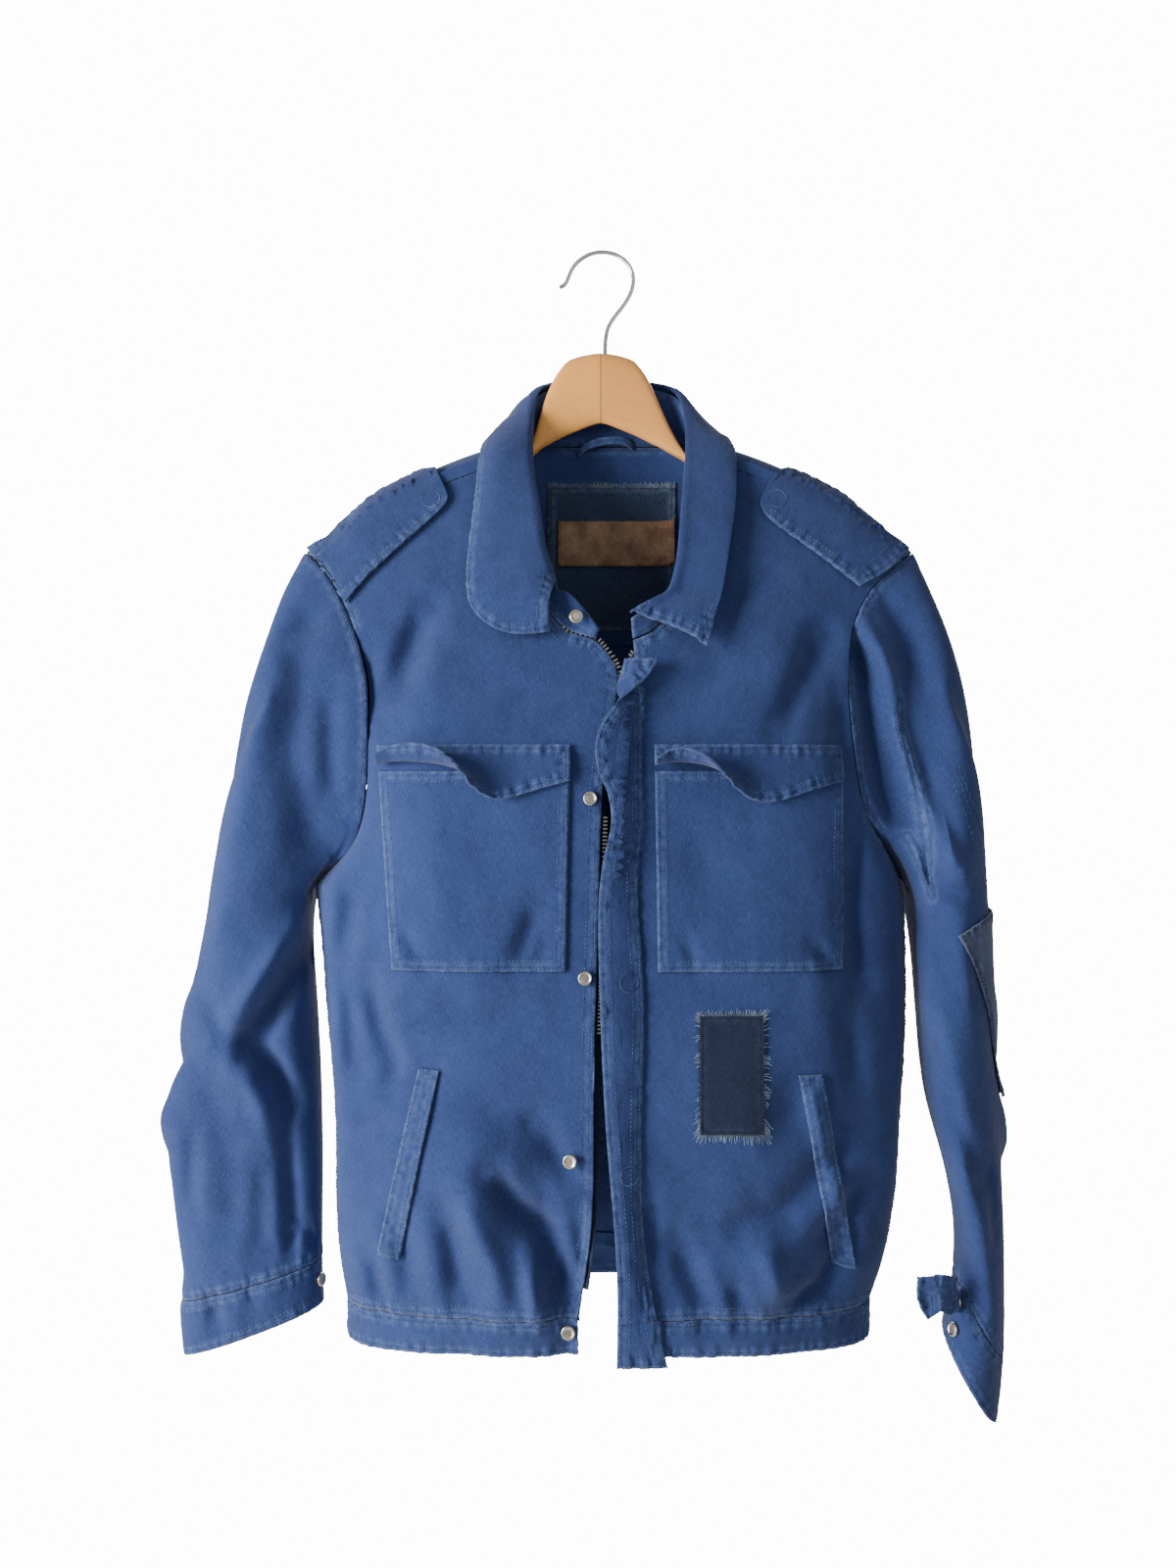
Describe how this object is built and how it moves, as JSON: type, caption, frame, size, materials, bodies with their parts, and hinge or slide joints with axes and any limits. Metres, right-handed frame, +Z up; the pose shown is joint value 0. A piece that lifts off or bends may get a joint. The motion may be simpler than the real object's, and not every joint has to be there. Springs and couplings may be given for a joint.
{
  "type": "patched work jacket on a clothes hanger",
  "caption": "Worn blue cotton work jacket with denim patches, open front with zip and snaps, flapped chest pockets, hanging on a wooden hanger with a wire hook.",
  "frame": {"origin": "the underside of the top of the hanger's hook, where a nail or rail carries it", "axes": "+Z up along the hanging jacket; the front faces -Y; the wearer's right is -X"},
  "size_m": [0.6394, 0.158, 0.9003],
  "materials": {
    "twill": "faded blue cotton twill",
    "denim": "dark denim patches",
    "slate": "smooth dull blue patch",
    "leather": "brown, worn",
    "zip_tape": "woven tape",
    "metal": "worn nickel",
    "wood": "clear lacquer",
    "steel": "bright wire"
  },
  "bodies": {
    "root": {"back": "twill", "back_yoke": "twill", "collar_leaf": "twill", "collar_snap": "metal", "collar_stand": "twill", "cuff_left": "twill", "cuff_right": "twill", "cuff_snap_left_1": "metal", "cuff_snap_left_2": "metal", "cuff_snap_right": "metal", "cuff_tab_left": "twill", "elbow_patch": "slate", "epaulette_left": "twill", "epaulette_right": "twill", "fly_placket": "twill", "front_left": "twill", "front_patch": "denim", "front_right": "twill", "front_snap_1": "metal", "front_snap_2": "metal", "front_snap_3": "metal", "front_snap_4": "metal", "hanger_hook": "steel", "hanger_loop": "twill", "hanger_wood": "wood", "hem_band_back": "twill", "hem_band_left": "twill", "hem_band_right": "twill", "inside_patch": "denim", "leather_label": "leather", "pocket_flap_left": "twill", "pocket_flap_right": "twill", "pocket_left": "twill", "pocket_right": "twill", "sleeve_left": "twill", "sleeve_right": "twill", "welt_left": "twill", "welt_right": "twill", "zip_tape_left": "zip_tape", "zip_tape_right": "zip_tape"}
  },
  "joints": []
}
